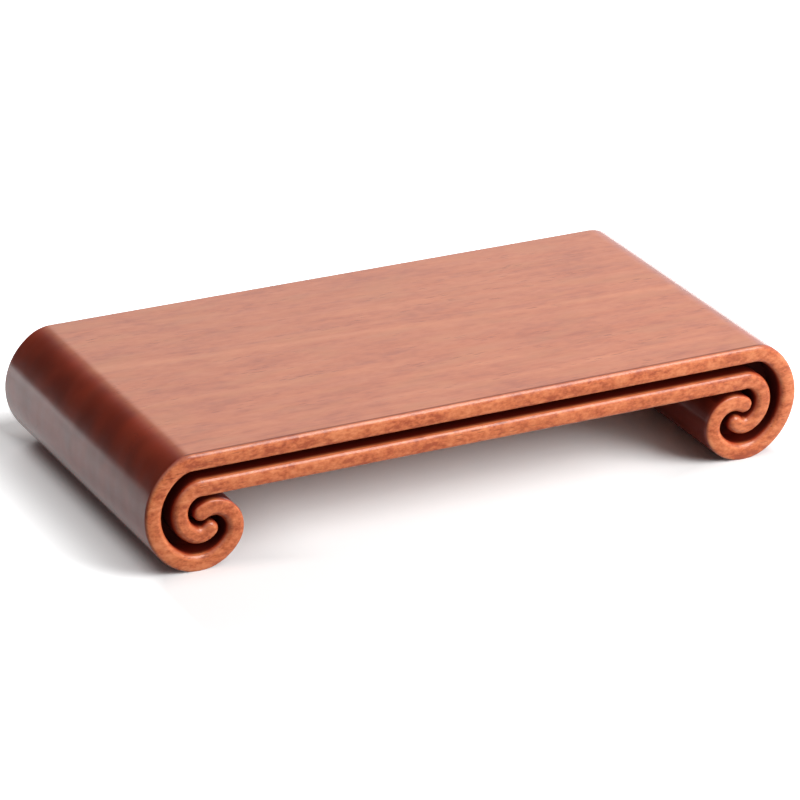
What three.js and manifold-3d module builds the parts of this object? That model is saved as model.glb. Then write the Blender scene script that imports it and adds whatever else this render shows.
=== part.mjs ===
// A low scroll-form display stand in red hardwood. Two thin boards lie one over the other and
// roll down and inwards at both ends, so that each end shows two sheets wound into one another.
// Sizes are in millimetres. X is the length, Y the depth with the front at -Y, Z is up, and the
// origin is on the floor under the middle of the stand.

import * as THREE from 'three';
import { mergeVertices } from 'three/addons/utils/BufferGeometryUtils.js';
import Module from 'manifold-3d';

const wasm = await Module();
wasm.setup();

// Overall size
const LENGTH = 300;
const DEPTH = 145;
const HEIGHT = 51.2;

// The two sheets and the open groove between them
const SHEET = 7.4;
const GROOVE = 4.3;
const GROOVE_DEPTH = 12;
const OUTER_ARRIS = 1.9;
const INNER_ARRIS = 1.0;
const ARRIS_STEPS = 2;

// The outer sheet's roll: round runs that meet in line, from the deck to the tip of the hook.
// The side and curl radii follow from the height of the stand and from the gaps.
const SHOULDER_RADIUS = 12.5;
const SHOULDER_SWEEP = THREE.MathUtils.degToRad(35.4);
const SIDE_SWEEP = THREE.MathUtils.degToRad(114.6);
const FOOT_RADIUS = 16.7;
const FOOT_SWEEP = THREE.MathUtils.degToRad(87.8);
const CURL_SWEEP = THREE.MathUtils.degToRad(86.1);
const HOOK_RADIUS = 9.6;
const HOOK_SWEEP = THREE.MathUtils.degToRad(66.8);
const MOUTH_GAP = 2.2;
const FOOT_FLAT = 0.4;

// The inner sheet's roll, which lies one sheet and one groove inside the outer one
const INNER_SHOULDER_RADIUS = 8;
const INNER_SHOULDER_SWEEP = THREE.MathUtils.degToRad(37.4);
const INNER_SIDE_SWEEP = THREE.MathUtils.degToRad(118.1);
const INNER_HOOK_RADIUS = 5.8;
const INNER_HOOK_SWEEP = THREE.MathUtils.degToRad(72.4);
const INNER_LEAD = 0.5;

// Steps along the rolls, and round the tips
const STEP_LENGTH = 2;
const TIP_SIDES = 20;

// Rails between the two boards, with shouldered tenons into the scroll ends
const RAIL_WIDTH = 22;
const TENON_LENGTH = 12;
const TENON_SHOULDER = 4;
const TENON_THICKNESS = 3;

// Loose tongues between each board and the scroll ends
const TONGUE_THICKNESS = 2.2;
const TONGUE_REACH = 5;
const TONGUE_END_STOP = 15;

// Blind pegs through the rails into both boards
const PEG_RADIUS = 2;
const PEG_REACH = 4;
const PEG_SPACING = 150;
const PEG_SIDES = 16;

// Clearance round every tenon, tongue and peg
const CLEARANCE = 0.3;

// Corners closer than this are one corner
const MERGE_DISTANCE = 1e-4;

// The lacquered wood is the smoothest, and the split bamboo of the pegs the roughest
const LACQUERED_WOOD = { color: 0xb4543a, roughness: 0.32, metalness: 0 };
const BARE_WOOD = { color: 0x8c3a28, roughness: 0.6, metalness: 0 };
const SPLIT_BAMBOO = { color: 0xc79a5e, roughness: 0.7, metalness: 0 };

// Levels worked out from the driving sizes
const PITCH = SHEET + GROOVE;
const UPPER_LEVEL = HEIGHT - SHEET / 2;
const LOWER_LEVEL = UPPER_LEVEL - PITCH;
const RAIL_LEVEL = (UPPER_LEVEL + LOWER_LEVEL) / 2;
const DECK_UNDERSIDE = LOWER_LEVEL - SHEET / 2;
const FOOT_LEVEL = SHEET / 2 - FOOT_FLAT;
const CURL_TOP_LEVEL = DECK_UNDERSIDE - MOUTH_GAP - SHEET / 2;
const ROLL_EDGE = LENGTH / 2 - SHEET / 2;
const CORE_DEPTH = DEPTH - 2 * GROOVE_DEPTH;

// How far a path with a radius of 1 falls, and moves outwards, between two headings
const fall = (from, to) => Math.cos(from) - Math.cos(to);
const reach = (from, to) => Math.sin(to) - Math.sin(from);

const SHOULDER_END = SHOULDER_SWEEP;
const SIDE_END = SHOULDER_END + SIDE_SWEEP;
const FOOT_END = SIDE_END + FOOT_SWEEP;
const CURL_END = FOOT_END + CURL_SWEEP;

const SIDE_RADIUS = (UPPER_LEVEL - FOOT_LEVEL - SHOULDER_RADIUS * fall(0, SHOULDER_END)
  - FOOT_RADIUS * fall(SIDE_END, Math.PI)) / fall(SHOULDER_END, SIDE_END);
const CURL_RADIUS = (FOOT_LEVEL - CURL_TOP_LEVEL - FOOT_RADIUS * fall(Math.PI, FOOT_END)
  - HOOK_RADIUS * fall(CURL_END, 2 * Math.PI)) / fall(FOOT_END, CURL_END);
const ROLL_START = ROLL_EDGE - SHOULDER_RADIUS * reach(0, SHOULDER_END)
  - SIDE_RADIUS * reach(SHOULDER_END, Math.PI / 2);

const INNER_SHOULDER_END = INNER_SHOULDER_SWEEP;
const INNER_SIDE_END = INNER_SHOULDER_END + INNER_SIDE_SWEEP;
const INNER_SIDE_RADIUS = (LOWER_LEVEL - FOOT_LEVEL - PITCH
  - INNER_SHOULDER_RADIUS * fall(0, INNER_SHOULDER_END)
  - INNER_HOOK_RADIUS * fall(INNER_SIDE_END, Math.PI)) / fall(INNER_SHOULDER_END, INNER_SIDE_END);
const INNER_ROLL_START = ROLL_EDGE - PITCH - INNER_SHOULDER_RADIUS * reach(0, INNER_SHOULDER_END)
  - INNER_SIDE_RADIUS * reach(INNER_SHOULDER_END, Math.PI / 2);

// The boards meet the scroll ends on this plane, just before the inner sheet starts to roll
const JOINT_X = INNER_ROLL_START - INNER_LEAD;
const BOARD_LENGTH = 2 * JOINT_X;

// A path in an upright plane, made of straight and round runs that meet in line. It sets off
// towards -X and turns down. A straight run has a length, and a round one a radius and a sweep.
class SheetPath extends THREE.Curve {
  constructor(x, z, runs) {
    super();
    this.runs = [];
    let start = { x, z, turned: 0, along: 0 };
    for (const run of runs) {
      const length = run.length ?? run.radius * run.sweep;
      this.runs.push({ ...start, length, radius: run.radius });
      const end = this.follow(this.runs.at(-1), length);
      start = { ...end, along: start.along + length };
    }
    this.total = start.along;
  }

  follow(run, distance) {
    if (run.radius === undefined) {
      const x = run.x - distance * Math.cos(run.turned);
      const z = run.z - distance * Math.sin(run.turned);
      return { x, z, turned: run.turned };
    }
    const turned = run.turned + distance / run.radius;
    const x = run.x - run.radius * reach(run.turned, turned);
    const z = run.z - run.radius * fall(run.turned, turned);
    return { x, z, turned };
  }

  placeAt(share) {
    const distance = share * this.total;
    const run = this.runs.findLast((each) => each.along <= distance) ?? this.runs[0];
    return this.follow(run, distance - run.along);
  }

  getPoint(share, target = new THREE.Vector3()) {
    const { x, z } = this.placeAt(share);
    return target.set(x, 0, z);
  }

  // Shares of the path are shares of its length already
  getUtoTmapping(share) {
    return share;
  }

  // The first axis of a section points out of the roll, and the second one to the back
  computeFrenetFrames(steps) {
    const frames = { tangents: [], normals: [], binormals: [] };
    for (let i = 0; i <= steps; i += 1) {
      const { turned } = this.placeAt(i / steps);
      frames.tangents.push(new THREE.Vector3(-Math.cos(turned), 0, -Math.sin(turned)));
      frames.normals.push(new THREE.Vector3(-Math.sin(turned), 0, Math.cos(turned)));
      frames.binormals.push(new THREE.Vector3(0, 1, 0));
    }
    return frames;
  }
}

// Turns a closed geometry into a solid that can be joined and cut. The slivers that a lathe leaves
// on its axis are dropped.
function toSolid(geometry) {
  const bare = geometry.index ? geometry.toNonIndexed() : geometry.clone();
  bare.deleteAttribute('normal');
  bare.deleteAttribute('uv');
  const merged = mergeVertices(bare, MERGE_DISTANCE);
  const triVerts = [];
  for (let i = 0; i < merged.index.count; i += 3) {
    const corners = Array.from(merged.index.array.subarray(i, i + 3));
    if (new Set(corners).size === 3) triVerts.push(...corners);
  }
  return new wasm.Manifold(new wasm.Mesh({
    numProp: 3,
    vertProperties: new Float32Array(merged.attributes.position.array),
    triVerts: new Uint32Array(triVerts),
  }));
}

function toGeometry(solid) {
  const { vertProperties, triVerts, numProp } = solid.getMesh();
  const geometry = new THREE.BufferGeometry();
  geometry.setAttribute('position', new THREE.InterleavedBufferAttribute(
    new THREE.InterleavedBuffer(new Float32Array(vertProperties), numProp), 3, 0));
  geometry.setIndex(new THREE.BufferAttribute(new Uint32Array(triVerts), 1));
  geometry.computeVertexNormals();
  return geometry;
}

const joinAll = (solids) => solids.reduce((whole, next) => whole.add(next));
const cutAll = (solid, cutters) => cutters.reduce((rest, cutter) => rest.subtract(cutter), solid);

function blockSolid(sizeX, sizeY, sizeZ, x, y, z) {
  return toSolid(new THREE.BoxGeometry(sizeX, sizeY, sizeZ).translate(x, y, z));
}

// The section shared by boards and rolled sheets: full rounds on the outer face's two long
// edges, and smaller ones on the inner face's
function sheetSection() {
  const half = SHEET / 2;
  const back = DEPTH / 2;
  const shape = new THREE.Shape();
  shape.moveTo(-half + INNER_ARRIS, -back);
  shape.lineTo(half - OUTER_ARRIS, -back);
  shape.absarc(half - OUTER_ARRIS, -back + OUTER_ARRIS, OUTER_ARRIS, -Math.PI / 2, 0);
  shape.lineTo(half, back - OUTER_ARRIS);
  shape.absarc(half - OUTER_ARRIS, back - OUTER_ARRIS, OUTER_ARRIS, 0, Math.PI / 2);
  shape.lineTo(-half + INNER_ARRIS, back);
  shape.absarc(-half + INNER_ARRIS, back - INNER_ARRIS, INNER_ARRIS, Math.PI / 2, Math.PI);
  shape.lineTo(-half, -back + INNER_ARRIS);
  shape.absarc(-half + INNER_ARRIS, -back + INNER_ARRIS, INNER_ARRIS, Math.PI, 1.5 * Math.PI);
  return shape;
}

function sheetAlong(path, steps) {
  return toSolid(new THREE.ExtrudeGeometry(sheetSection(), {
    extrudePath: path,
    steps,
    curveSegments: ARRIS_STEPS,
    bevelEnabled: false,
  }));
}

// The half-round end of a rolled sheet, as wide as the sheet is thick
function sheetTip(place) {
  const half = SHEET / 2;
  const back = DEPTH / 2;
  const quarter = new THREE.Path();
  quarter.moveTo(0, -back);
  quarter.lineTo(half - OUTER_ARRIS, -back);
  quarter.absarc(half - OUTER_ARRIS, -back + OUTER_ARRIS, OUTER_ARRIS, -Math.PI / 2, 0);
  quarter.absarc(half - OUTER_ARRIS, back - OUTER_ARRIS, OUTER_ARRIS, 0, Math.PI / 2);
  quarter.lineTo(0, back);
  const profile = quarter.getPoints(ARRIS_STEPS);
  return toSolid(new THREE.LatheGeometry(profile, TIP_SIDES).translate(place.x, 0, place.z));
}

const stepsFor = (path) => Math.ceil(path.total / STEP_LENGTH);

const deckRun = { length: BOARD_LENGTH };
const outerRuns = [
  { length: ROLL_START - JOINT_X },
  { radius: SHOULDER_RADIUS, sweep: SHOULDER_SWEEP },
  { radius: SIDE_RADIUS, sweep: SIDE_SWEEP },
  { radius: FOOT_RADIUS, sweep: FOOT_SWEEP },
  { radius: CURL_RADIUS, sweep: CURL_SWEEP },
];
const hookRun = { radius: HOOK_RADIUS, sweep: HOOK_SWEEP };
const innerRuns = [
  { length: INNER_LEAD },
  { radius: INNER_SHOULDER_RADIUS, sweep: INNER_SHOULDER_SWEEP },
  { radius: INNER_SIDE_RADIUS, sweep: INNER_SIDE_SWEEP },
  { radius: INNER_HOOK_RADIUS, sweep: INNER_HOOK_SWEEP },
];

// The wood left between the two rolled sheets, set back from the front and the back by the
// depth of the groove. Its outline runs inside the outer sheet, then up to the deck's underside,
// where it makes the shoulder that the lower board rests on.
function scrollCore() {
  const path = new SheetPath(-JOINT_X, UPPER_LEVEL, outerRuns);
  const shape = new THREE.Shape();
  shape.moveTo(-JOINT_X, UPPER_LEVEL);
  for (const point of path.getSpacedPoints(stepsFor(path))) {
    shape.lineTo(point.x, point.z);
  }
  shape.lineTo(shape.currentPoint.x, DECK_UNDERSIDE);
  shape.lineTo(-JOINT_X, DECK_UNDERSIDE);
  const core = new THREE.ExtrudeGeometry(shape, { depth: CORE_DEPTH, bevelEnabled: false });
  return toSolid(core.rotateX(Math.PI / 2).translate(0, CORE_DEPTH / 2, 0));
}

const railPlaces = [
  { name: 'front', y: -(CORE_DEPTH - RAIL_WIDTH) / 2 },
  { name: 'middle', y: 0 },
  { name: 'rear', y: (CORE_DEPTH - RAIL_WIDTH) / 2 },
];
const tenonWidth = RAIL_WIDTH - 2 * TENON_SHOULDER;
const tongueLength = DEPTH - 2 * TONGUE_END_STOP;

function mortise(y) {
  const length = TENON_LENGTH + CLEARANCE;
  return blockSolid(length * 2, tenonWidth + 2 * CLEARANCE, TENON_THICKNESS + 2 * CLEARANCE,
    -JOINT_X, y, RAIL_LEVEL);
}

// One groove for a loose tongue, cut evenly into a board's end and the scroll end beside it
function tongueGroove(x, level) {
  return blockSolid(2 * (TONGUE_REACH + CLEARANCE), tongueLength + 2 * CLEARANCE,
    TONGUE_THICKNESS + 2 * CLEARANCE, x, 0, level);
}

// A whole scroll end for the left: two rolled sheets on a core, cut for its joints and levelled
function scrollEnd() {
  const outerPath = new SheetPath(-JOINT_X, UPPER_LEVEL, [...outerRuns, hookRun]);
  const innerPath = new SheetPath(-JOINT_X, LOWER_LEVEL, innerRuns);
  const whole = joinAll([
    sheetAlong(outerPath, stepsFor(outerPath)),
    sheetTip(outerPath.placeAt(1)),
    sheetAlong(innerPath, stepsFor(innerPath)),
    sheetTip(innerPath.placeAt(1)),
    scrollCore(),
  ]);
  const belowFloor = blockSolid(LENGTH, 2 * DEPTH, SHEET, -JOINT_X, 0, -SHEET / 2);
  return cutAll(whole, [
    belowFloor,
    ...railPlaces.map((rail) => mortise(rail.y)),
    tongueGroove(-JOINT_X, UPPER_LEVEL),
    tongueGroove(-JOINT_X, LOWER_LEVEL),
  ]);
}

function pegHole(x, y) {
  const height = GROOVE + 2 * PEG_REACH;
  const hole = new THREE.CylinderGeometry(PEG_RADIUS + CLEARANCE, PEG_RADIUS + CLEARANCE, height, PEG_SIDES);
  return toSolid(hole.rotateX(Math.PI / 2).translate(x, y, RAIL_LEVEL));
}

const pegSides = [{ name: 'left', x: -PEG_SPACING / 2 }, { name: 'right', x: PEG_SPACING / 2 }];
const pegHoles = railPlaces.flatMap((rail) => pegSides.map((side) => pegHole(side.x, rail.y)));

function deckBoard(level) {
  const board = sheetAlong(new SheetPath(JOINT_X, level, [deckRun]), 1);
  return cutAll(board, [tongueGroove(-JOINT_X, level), tongueGroove(JOINT_X, level), ...pegHoles]);
}

function rail(y) {
  const body = blockSolid(BOARD_LENGTH, RAIL_WIDTH, GROOVE, 0, y, RAIL_LEVEL);
  const tenons = blockSolid(BOARD_LENGTH + 2 * TENON_LENGTH, tenonWidth, TENON_THICKNESS, 0, y, RAIL_LEVEL);
  return cutAll(body.add(tenons), pegHoles);
}

function looseTongue(x, level) {
  return blockSolid(2 * TONGUE_REACH, tongueLength, TONGUE_THICKNESS, x, 0, level);
}

// A peg stands on the floor of its hole in the lower board
function peg(x, y) {
  const height = GROOVE + 2 * PEG_REACH - CLEARANCE;
  const pin = new THREE.CylinderGeometry(PEG_RADIUS, PEG_RADIUS, height, PEG_SIDES);
  return toSolid(pin.rotateX(Math.PI / 2).translate(x, y, RAIL_LEVEL - CLEARANCE / 2));
}

function piece(name, solid, finish) {
  const mesh = new THREE.Mesh(toGeometry(solid), new THREE.MeshStandardMaterial(finish));
  mesh.name = name;
  return mesh;
}

function scrollEnds() {
  const group = new THREE.Group();
  const shape = scrollEnd();
  const left = piece('left_scroll_end', shape, LACQUERED_WOOD);
  const right = piece('right_scroll_end', shape, LACQUERED_WOOD);
  right.rotation.z = Math.PI;
  group.add(left, right);
  return group;
}

function deck() {
  const group = new THREE.Group();
  group.add(piece('upper_deck_board', deckBoard(UPPER_LEVEL), LACQUERED_WOOD));
  group.add(piece('lower_deck_board', deckBoard(LOWER_LEVEL), LACQUERED_WOOD));
  for (const { name, y } of railPlaces) {
    group.add(piece(`${name}_core_rail`, rail(y), BARE_WOOD));
    for (const side of pegSides) {
      group.add(piece(`${name}_${side.name}_peg`, peg(side.x, y), SPLIT_BAMBOO));
    }
  }
  return group;
}

function tongues() {
  const group = new THREE.Group();
  for (const [end, x] of [['left', -JOINT_X], ['right', JOINT_X]]) {
    group.add(piece(`${end}_upper_tongue`, looseTongue(x, UPPER_LEVEL), BARE_WOOD));
    group.add(piece(`${end}_lower_tongue`, looseTongue(x, LOWER_LEVEL), BARE_WOOD));
  }
  return group;
}

const displayStand = new THREE.Group();
displayStand.add(scrollEnds(), deck(), tongues());

export default displayStand;
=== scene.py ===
"""The looks of a low display stand in red hardwood, whose two boards roll inwards at both ends.

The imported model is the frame. The two boards and the two scroll ends are modelled again here with
round arrises and finer rolls, and the hidden rails, tongues and pegs keep their solids. Sizes are in
metres: X is the length, Y the depth with the front at -Y, Z is up, and the origin is on the floor
under the middle of the stand.
"""

import logging
import math
from collections.abc import Callable, Mapping
from dataclasses import dataclass
from enum import Enum
from functools import reduce
from operator import add

import bmesh
import bpy
from mathutils import Matrix, Vector
from mathutils.bvhtree import BVHTree


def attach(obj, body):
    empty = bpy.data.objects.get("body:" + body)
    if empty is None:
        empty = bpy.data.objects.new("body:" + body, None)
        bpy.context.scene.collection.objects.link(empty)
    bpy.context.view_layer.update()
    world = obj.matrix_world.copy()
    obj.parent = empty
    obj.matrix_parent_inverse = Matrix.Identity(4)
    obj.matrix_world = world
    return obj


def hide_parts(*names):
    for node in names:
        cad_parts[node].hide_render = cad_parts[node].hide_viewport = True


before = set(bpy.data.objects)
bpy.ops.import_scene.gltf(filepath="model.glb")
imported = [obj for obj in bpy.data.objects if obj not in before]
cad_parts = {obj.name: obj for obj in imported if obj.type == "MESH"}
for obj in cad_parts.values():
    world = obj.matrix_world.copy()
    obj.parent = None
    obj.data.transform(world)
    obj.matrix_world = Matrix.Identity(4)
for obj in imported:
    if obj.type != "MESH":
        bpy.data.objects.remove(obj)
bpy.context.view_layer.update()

BODY = "root"
RECESS = "recess"
FRONT_TO_BACK = (0, 1, 0)
BLACK = (0.0, 0.0, 0.0)
WHITE = (1.0, 1.0, 1.0)
MOSTLY = 0.5  # A direction lies mostly along an axis where its share of it is larger than this.

log = logging.getLogger("display_stand")


class Part(Enum):
    """What a pick in edit mode looks at."""

    FACES = "FACE"
    EDGES = "EDGE"


class End(Enum):
    """An end of the stand, seen from the front."""

    LEFT = "left"
    RIGHT = "right"


class Bench:
    """Blender's own modelling tools, used as a maker would use them by hand."""

    MERGE_DISTANCE = 1e-6
    TOUCHING = 1e-5
    SMOOTH_ANGLE = math.radians(35)
    ARRIS_FLATS = 6
    PIN_SIDES = 32
    SQUARE_ON = 0.9  # A face is a front or a back where its normal's share of Y is larger than this.

    @staticmethod
    def let_go() -> None:
        """Selects nothing."""
        bpy.ops.object.select_all(action="DESELECT")

    @staticmethod
    def take(piece: bpy.types.Object) -> None:
        """Makes one piece the selected and active one."""
        Bench.let_go()
        piece.select_set(True)
        bpy.context.view_layer.objects.active = piece

    @staticmethod
    def named(name: str) -> bpy.types.Object:
        """Gives the newest piece its name, and works its place and size into its mesh."""
        piece = bpy.context.object
        piece.name = piece.data.name = name
        bpy.ops.object.transform_apply(location=True, rotation=True, scale=True)
        return piece

    @staticmethod
    def block(name: str, size: tuple[float, float, float],
              centre: tuple[float, float, float]) -> bpy.types.Object:
        """Adds a block.

        Args:
            name: the new piece's name.
            size: its size along X, Y and Z.
            centre: where its middle is.

        Returns:
            The new piece.
        """
        Bench.let_go()
        bpy.ops.mesh.primitive_cube_add(size=1, location=centre, scale=size)
        return Bench.named(name)

    @staticmethod
    def panel(name: str, size: tuple[float, float], centre: tuple[float, float, float],
              tilt: float = 0) -> bpy.types.Object:
        """Adds a flat panel.

        Args:
            name: the new piece's name.
            size: its size along its own X and along Y.
            centre: where its middle is.
            tilt: how far it is turned about Y, in radians.

        Returns:
            The new piece.
        """
        Bench.let_go()
        bpy.ops.mesh.primitive_plane_add(size=1, location=centre, rotation=(0, tilt, 0))
        bpy.context.object.scale = (*size, 1)
        return Bench.named(name)

    @staticmethod
    def pin(name: str, radius: float, height: float,
            centre: tuple[float, float, float]) -> bpy.types.Object:
        """Adds an upright round pin.

        Args:
            name: the new piece's name.
            radius: its radius.
            height: its height.
            centre: where its middle is.

        Returns:
            The new piece.
        """
        Bench.let_go()
        bpy.ops.mesh.primitive_cylinder_add(vertices=Bench.PIN_SIDES, radius=radius, depth=height,
                                            location=centre)
        return Bench.named(name)

    @staticmethod
    def shape(piece: bpy.types.Object) -> None:
        """Opens a piece in edit mode, with all of it selected."""
        Bench.take(piece)
        bpy.ops.object.mode_set(mode="EDIT")
        bpy.ops.mesh.select_mode(type=Part.FACES.value)
        bpy.ops.mesh.select_all(action="SELECT")

    @staticmethod
    def pick(piece: bpy.types.Object, part: Part,
             test: Callable[[bmesh.types.BMFace | bmesh.types.BMEdge], bool]) -> None:
        """Selects, in edit mode, only what passes a test.

        Args:
            piece: the piece that is open.
            part: whether faces or edges are looked at.
            test: says of each face or edge whether it is wanted.
        """
        bpy.ops.mesh.select_mode(type=part.value)
        bpy.ops.mesh.select_all(action="DESELECT")
        mesh = bmesh.from_edit_mesh(piece.data)
        for each in mesh.faces if part is Part.FACES else mesh.edges:
            each.select_set(test(each))
        mesh.select_flush_mode()
        bmesh.update_edit_mesh(piece.data)

    @staticmethod
    def roll(start: "Place", runs: tuple["Run", ...], flat: float) -> "Place":
        """Spins what is selected, in edit mode, along round runs.

        Args:
            start: where the first run starts.
            runs: the runs, one after the other.
            flat: the greatest length of the flats that the runs are made of.

        Returns:
            The place where the last run ends.
        """
        place = start
        for run in runs:
            bpy.ops.mesh.spin(steps=run.flats(flat), angle=run.sweep, center=place.centre(run.radius),
                              axis=FRONT_TO_BACK)
            place = place.after(run)
        return place

    @staticmethod
    def seal() -> None:
        """Joins doubled corners, fills open ends, turns every face outwards and leaves edit mode."""
        bpy.ops.mesh.select_mode(type="VERT")
        bpy.ops.mesh.select_all(action="SELECT")
        bpy.ops.mesh.remove_doubles(threshold=Bench.MERGE_DISTANCE)
        bpy.ops.mesh.fill_holes(sides=0)
        bpy.ops.mesh.select_all(action="SELECT")
        bpy.ops.mesh.normals_make_consistent(inside=False)
        bpy.ops.object.mode_set(mode="OBJECT")

    @staticmethod
    def modify(piece: bpy.types.Object, kind: str, **settings: object) -> None:
        """Adds a modifier to a piece and applies it.

        Args:
            piece: the piece.
            kind: the modifier's type.
            settings: the modifier's own settings.
        """
        Bench.take(piece)
        modifier = piece.modifiers.new(kind.title(), kind)
        for setting, value in settings.items():
            setattr(modifier, setting, value)
        bpy.ops.object.modifier_apply(modifier=modifier.name)

    @staticmethod
    def join(pieces: list[bpy.types.Object]) -> bpy.types.Object:
        """Puts loose pieces into one mesh, which is the first one's."""
        Bench.take(pieces[0])
        for piece in pieces[1:]:
            piece.select_set(True)
        bpy.ops.object.join()
        return pieces[0]

    @staticmethod
    def combine(piece: bpy.types.Object, tool: bpy.types.Object, operation: str) -> None:
        """Joins a piece with a tool piece, or cuts it by one, and throws the tool away.

        Args:
            piece: the piece that is kept.
            tool: the piece that is added or taken away.
            operation: UNION or DIFFERENCE.
        """
        Bench.modify(piece, "BOOLEAN", object=tool, operation=operation, solver="EXACT")
        bpy.data.objects.remove(tool)

    @staticmethod
    def trim(piece: bpy.types.Object, place: tuple[float, float, float],
             normal: tuple[float, float, float]) -> None:
        """Cuts a piece along a plane and closes the cut.

        Args:
            piece: the piece.
            place: a point on the plane.
            normal: the side of the plane that is cut away.
        """
        Bench.shape(piece)
        bpy.ops.mesh.bisect(plane_co=place, plane_no=normal, use_fill=True, clear_outer=True,
                            threshold=Bench.MERGE_DISTANCE)
        bpy.ops.object.mode_set(mode="OBJECT")

    @staticmethod
    def crown(piece: bpy.types.Object, margin: float, rise: float) -> None:
        """Raises the front and the back of a piece a little, so that they swell between their edges.

        Args:
            piece: the piece.
            margin: the width of the slope along each edge.
            rise: how far the middle stands out.
        """
        Bench.shape(piece)
        Bench.pick(piece, Part.FACES, lambda face: abs(face.normal.y) > Bench.SQUARE_ON)
        bpy.ops.mesh.inset(thickness=margin, depth=rise)
        bpy.ops.object.mode_set(mode="OBJECT")

    @staticmethod
    def round_arrises(piece: bpy.types.Object, widest: float,
                      radius_at: Callable[[Vector, Vector], float]) -> None:
        """Rounds the sharp edges of a piece.

        Args:
            piece: the piece.
            widest: the greatest radius that is asked for anywhere.
            radius_at: gives an edge's radius from its middle and its direction, or zero to keep it.
        """
        mesh = bmesh.new()
        mesh.from_mesh(piece.data)
        weight = mesh.edges.layers.float.new("bevel_weight_edge")
        for edge in mesh.edges:
            if edge.calc_face_angle() > Bench.SMOOTH_ANGLE:
                first, second = (vert.co for vert in edge.verts)
                edge[weight] = radius_at((first + second) / 2, (second - first).normalized()) / widest
        mesh.to_mesh(piece.data)
        mesh.free()
        Bench.modify(piece, "BEVEL", width=widest, segments=Bench.ARRIS_FLATS, limit_method="WEIGHT",
                     use_clamp_overlap=False)

    @staticmethod
    def polish(piece: bpy.types.Object) -> None:
        """Shades a piece smooth, with its flat faces kept flat up to their rounded edges."""
        Bench.take(piece)
        bpy.ops.object.shade_smooth_by_angle(angle=Bench.SMOOTH_ANGLE)
        Bench.modify(piece, "WEIGHTED_NORMAL", keep_sharp=True)


class Signal:
    """An output of a shader node. Sums on it are written as Python expressions."""

    def __init__(self, sheet: "NodeSheet", socket: bpy.types.NodeSocket) -> None:
        """Keeps the output and the sheet that it is on."""
        self.sheet = sheet
        self.socket = socket

    def _sum(self, operation: str, first: object, second: object) -> "Signal":
        """Adds the Math node for one operation on two numbers."""
        return self.sheet.add("ShaderNodeMath", {"operation": operation}, {0: first, 1: second})

    def __add__(self, other: object) -> "Signal":
        """This output plus a number."""
        return self._sum("ADD", self, other)

    def __sub__(self, other: object) -> "Signal":
        """This output less a number."""
        return self._sum("SUBTRACT", self, other)

    def __rsub__(self, other: object) -> "Signal":
        """A number less this output."""
        return self._sum("SUBTRACT", other, self)

    def __mul__(self, other: object) -> "Signal":
        """This output times a number."""
        return self._sum("MULTIPLY", self, other)

    __radd__ = __add__
    __rmul__ = __mul__

    def larger(self, other: object) -> "Signal":
        """The larger of this output and a number."""
        return self._sum("MAXIMUM", self, other)

    def size(self) -> "Signal":
        """This output without its sign."""
        return self._sum("ABSOLUTE", self, 0.0)

    def step(self, start: float, end: float) -> "Signal":
        """Goes softly from 0 at one value of this output to 1 at another.

        Args:
            start: where the result is 0.
            end: where the result is 1, which may be the smaller value.

        Returns:
            The soft step.
        """
        if start > end:
            return 1.0 - self.step(end, start)
        return self.sheet.add("ShaderNodeMapRange", {"interpolation_type": "SMOOTHSTEP"},
                              {"Value": self, "From Min": start, "From Max": end})


class NodeSheet:
    """A shader node tree that is being written."""

    def __init__(self, tree: bpy.types.NodeTree) -> None:
        """Clears a tree to write on."""
        self.tree = tree
        tree.nodes.clear()

    def add(self, kind: str, settings: Mapping[str, object], inputs: Mapping[object, object],
            output: object = 0) -> "Signal | None":
        """Adds a node.

        Args:
            kind: the node's type.
            settings: what is set on the node first. "stops" are a colour ramp's stops.
            inputs: values or links for its sockets, by name or number.
            output: the name or number of the output that is wanted.

        Returns:
            That output, or None if the node has no outputs.
        """
        node = self.tree.nodes.new(kind)
        for setting, value in settings.items():
            if setting == "stops":
                self._set_stops(node.color_ramp, value)
            else:
                setattr(node, setting, value)
        for socket, value in inputs.items():
            if isinstance(value, Signal):
                self.tree.links.new(value.socket, node.inputs[socket])
            else:
                node.inputs[socket].default_value = value
        return Signal(self, node.outputs[output]) if node.outputs else None

    @staticmethod
    def _set_stops(ramp: bpy.types.ColorRamp, stops: tuple) -> None:
        """Writes a ramp's stops, each a place from 0 to 1 and a colour."""
        while len(ramp.elements) < len(stops):
            ramp.elements.new(1.0)
        for element, (position, colour) in zip(ramp.elements, stops):
            element.position = position
            element.color = (*colour, 1.0)

    def mix(self, factor: object, first: object, second: object) -> Signal:
        """Mixes two colours.

        Args:
            factor: the share of the second colour.
            first: the colour where the factor is 0.
            second: the colour where the factor is 1.

        Returns:
            The mixed colour.
        """
        colours = [value if isinstance(value, Signal) else (*value, 1.0) for value in (first, second)]
        return self.add("ShaderNodeMix", {"data_type": "RGBA"},
                        {0: factor, 6: colours[0], 7: colours[1]}, 2)

    def parts(self, vector: Signal) -> list[Signal]:
        """The parts of a vector along X, Y and Z."""
        return [self.add("ShaderNodeSeparateXYZ", {}, {0: vector}, axis) for axis in "XYZ"]

    def place(self) -> Signal:
        """The place of a point of the piece, in metres."""
        return self.add("ShaderNodeTexCoord", {}, {}, "Object")

    def rays(self, *kinds: str) -> list[Signal]:
        """For each kind that is named, 1 for such a ray and 0 for any other."""
        return [self.add("ShaderNodeLightPath", {}, {}, kind) for kind in kinds]


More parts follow.
